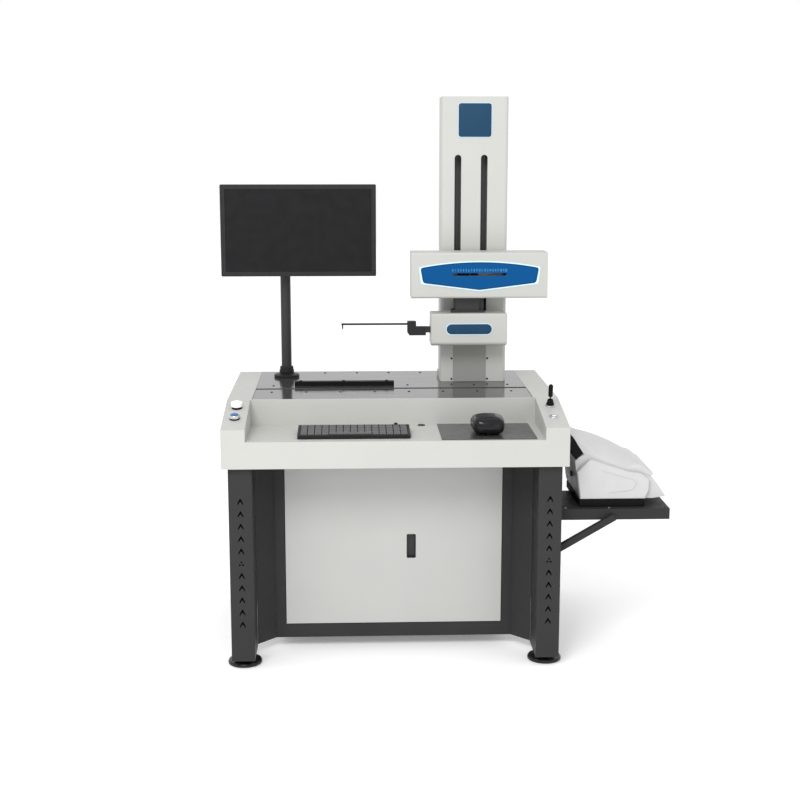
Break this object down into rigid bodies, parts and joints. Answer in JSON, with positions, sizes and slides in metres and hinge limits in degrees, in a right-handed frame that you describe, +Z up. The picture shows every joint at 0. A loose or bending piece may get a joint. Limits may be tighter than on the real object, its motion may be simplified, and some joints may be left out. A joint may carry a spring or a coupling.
{
  "type": "surface roughness tester",
  "caption": "Surface roughness and contour measuring station: column instrument with stylus on a steel bench with monitor, keyboard, mouse, consoles and a printer on a side shelf.",
  "frame": {"origin": "on the floor, under the middle of the whole station's bounding box", "axes": "+X to the user's right along the table front, +Y from the user to the back, +Z up"},
  "size_m": [1.41, 0.804, 1.74],
  "materials": {
    "housing_paint": "light warm grey fine-textured paint",
    "leg_paint": "charcoal textured powder coat",
    "door_paint": "light grey satin paint",
    "dark_plate": "glossy dark grey lacquer",
    "bright_steel": "turned steel",
    "machine_steel": "ground steel",
    "blue_plate": "blue printed plate",
    "grey_plate": "grey plate",
    "black_metal": "black anodised",
    "black_plastic": "black moulded plastic",
    "gloss_black": "glossy black plastic",
    "screen_glass": "dark semi-gloss screen",
    "white_plastic": "white moulded plastic",
    "blue_lens": "translucent blue plastic",
    "dark_mat": "dark grey smooth mat",
    "light_alloy": "satin aluminium",
    "key_plastic": "black moulded keys"
  },
  "bodies": {
    "bench": {"leg_front_left": "leg_paint", "leg_front_right": "leg_paint", "rear_legs": "leg_paint", "cabinet_body": "leg_paint", "gussets": "leg_paint", "table_housing": "housing_paint", "front_plate": "dark_plate", "rear_plate": "dark_plate", "cover_screws": "bright_steel", "stop_rail": "black_metal", "cable_grommet": "black_plastic", "column_housing": "housing_paint", "column_badge": "blue_plate", "column_lower_plate": "grey_plate", "column_frame": "housing_paint", "z_motor": "black_metal", "monitor_pole": "black_metal", "pole_flange": "gloss_black", "keyboard_base": "black_plastic", "keyboard_keys": "key_plastic", "mouse_mat": "dark_mat", "button_bases": "black_plastic", "button_rings": "bright_steel", "shelf_tray": "leg_paint", "shelf_brace": "leg_paint", "printer_base": "black_plastic", "printer_body": "white_plastic"},
    "foot_front_left": {"foot_front_left": "gloss_black"},
    "foot_front_right": {"foot_front_right": "gloss_black"},
    "foot_rear_left": {"foot_rear_left": "gloss_black"},
    "foot_rear_right": {"foot_rear_right": "gloss_black"},
    "door": {"cabinet_door": "door_paint", "door_pull": "black_plastic"},
    "lift": {"z_carriage": "light_alloy", "x_back_plate": "light_alloy", "x_housing": "housing_paint", "x_panel": "blue_plate", "x_motor": "black_metal"},
    "lift_screw": {"z_screw": "machine_steel"},
    "feed_screw": {"x_screw": "machine_steel"},
    "head": {"x_carriage": "light_alloy", "head_bracket": "black_metal", "head_housing": "housing_paint", "head_badge": "blue_plate"},
    "stylus": {"gauge_lever": "bright_steel", "arm_block": "black_metal", "stylus_arm": "light_alloy"},
    "monitor_arm": {"swivel_arm": "black_metal"},
    "monitor": {"monitor_housing": "gloss_black", "monitor_screen": "screen_glass"},
    "white_button": {"white_button_cap": "white_plastic"},
    "blue_button": {"blue_button_lens": "blue_lens"},
    "ring_button": {"ring_button_cap": "bright_steel"},
    "space_key": {"space_bar": "key_plastic"},
    "gimbal": {"joystick_gimbal": "bright_steel"},
    "stick": {"joystick_lever": "black_plastic"},
    "mouse": {"mouse_body": "gloss_black"},
    "mouse_roller": {"mouse_wheel": "black_plastic"},
    "cover": {"printer_cover": "white_plastic"},
    "print_key": {"printer_button": "gloss_black"}
  },
  "joints": [
    {"name": "foot_front_left_turn", "type": "hinge", "parent": "bench", "child": "foot_front_left", "pos_m": [-0.6115, -0.314, 0.03], "axis": [0, 0, 1], "continuous": true},
    {"name": "foot_front_right_turn", "type": "hinge", "parent": "bench", "child": "foot_front_right", "pos_m": [0.3225, -0.314, 0.03], "axis": [0, 0, 1], "continuous": true},
    {"name": "foot_rear_left_turn", "type": "hinge", "parent": "bench", "child": "foot_rear_left", "pos_m": [-0.6115, 0.314, 0.03], "axis": [0, 0, 1], "continuous": true},
    {"name": "foot_rear_right_turn", "type": "hinge", "parent": "bench", "child": "foot_rear_right", "pos_m": [0.3225, 0.314, 0.03], "axis": [0, 0, 1], "continuous": true},
    {"name": "door_hinge", "type": "hinge", "parent": "bench", "child": "door", "pos_m": [-0.4833, -0.184, 0.3435], "axis": [0, 0, -1], "range_deg": [0, 100]},
    {"name": "z_slide", "type": "slide", "parent": "bench", "child": "lift", "axis": [0, 0, 1], "range_m": [-0.1, 0.31]},
    {"name": "z_screw_turn", "type": "hinge", "parent": "bench", "child": "lift_screw", "pos_m": [0.122, 0.204, 1.2], "axis": [0, 0, 1], "continuous": true},
    {"name": "x_slide", "type": "slide", "parent": "lift", "child": "head", "axis": [1, 0, 0], "range_m": [-0.045, 0.115]},
    {"name": "x_screw_turn", "type": "hinge", "parent": "lift", "child": "feed_screw", "pos_m": [0.1155, 0.123, 1.1542], "axis": [1, 0, 0], "continuous": true},
    {"name": "stylus_tilt", "type": "hinge", "parent": "head", "child": "stylus", "pos_m": [0.0705, 0.108, 0.986], "axis": [0, 1, 0], "range_deg": [-4, 4]},
    {"name": "monitor_swivel", "type": "hinge", "parent": "bench", "child": "monitor_arm", "pos_m": [-0.4969, 0.288, 1.3055], "axis": [0, 0, 1], "range_deg": [-10, 40]},
    {"name": "monitor_tilt", "type": "hinge", "parent": "monitor_arm", "child": "monitor", "pos_m": [-0.4475, 0.245, 1.3055], "axis": [1, 0, 0], "range_deg": [-15, 15]},
    {"name": "white_button_press", "type": "slide", "parent": "bench", "child": "white_button", "axis": [0, 0.1765, -0.9843], "range_m": [0, 0.0038], "stiffness_N_per_m": 900, "springref_m": -0.002},
    {"name": "blue_button_press", "type": "slide", "parent": "bench", "child": "blue_button", "axis": [0, 0.1765, -0.9843], "range_m": [0, 0.0025], "stiffness_N_per_m": 700, "springref_m": -0.002},
    {"name": "ring_button_press", "type": "slide", "parent": "bench", "child": "ring_button", "axis": [0, 0.1765, -0.9843], "range_m": [0, 0.002], "stiffness_N_per_m": 700, "springref_m": -0.002},
    {"name": "space_bar_press", "type": "slide", "parent": "bench", "child": "space_key", "axis": [0, 0.0628, -0.998], "range_m": [0, 0.0022], "stiffness_N_per_m": 300, "springref_m": -0.001},
    {"name": "joystick_tilt_y", "type": "hinge", "parent": "bench", "child": "gimbal", "pos_m": [0.3395, -0.22359, 0.79613], "axis": [1, 0, 0], "range_deg": [-12, 12], "stiffness_Nm_per_rad": 0.3},
    {"name": "joystick_tilt_x", "type": "hinge", "parent": "gimbal", "child": "stick", "pos_m": [0.3395, -0.22359, 0.79613], "axis": [0, 0.9843, 0.1765], "range_deg": [-12, 12], "stiffness_Nm_per_rad": 0.3},
    {"name": "mouse_slide", "type": "slide", "parent": "bench", "child": "mouse", "axis": [1, 0, 0], "range_m": [-0.09, 0.08]},
    {"name": "mouse_wheel_turn", "type": "hinge", "parent": "mouse", "child": "mouse_roller", "pos_m": [0.1385, -0.26272, 0.7618], "axis": [1, 0, 0], "continuous": true},
    {"name": "printer_cover_hinge", "type": "hinge", "parent": "bench", "child": "cover", "pos_m": [0.6505, -0.148, 0.582], "axis": [0, 1, 0], "range_deg": [0, 60]},
    {"name": "printer_button_press", "type": "slide", "parent": "bench", "child": "print_key", "axis": [1, 0, 0], "range_m": [0, 0.003], "stiffness_N_per_m": 500, "springref_m": -0.002}
  ],
  "couplings": [
    {"joint": "z_screw_turn", "follows": "z_slide", "rad_per_m": 628.32},
    {"joint": "x_screw_turn", "follows": "x_slide", "rad_per_m": 628.32}
  ]
}
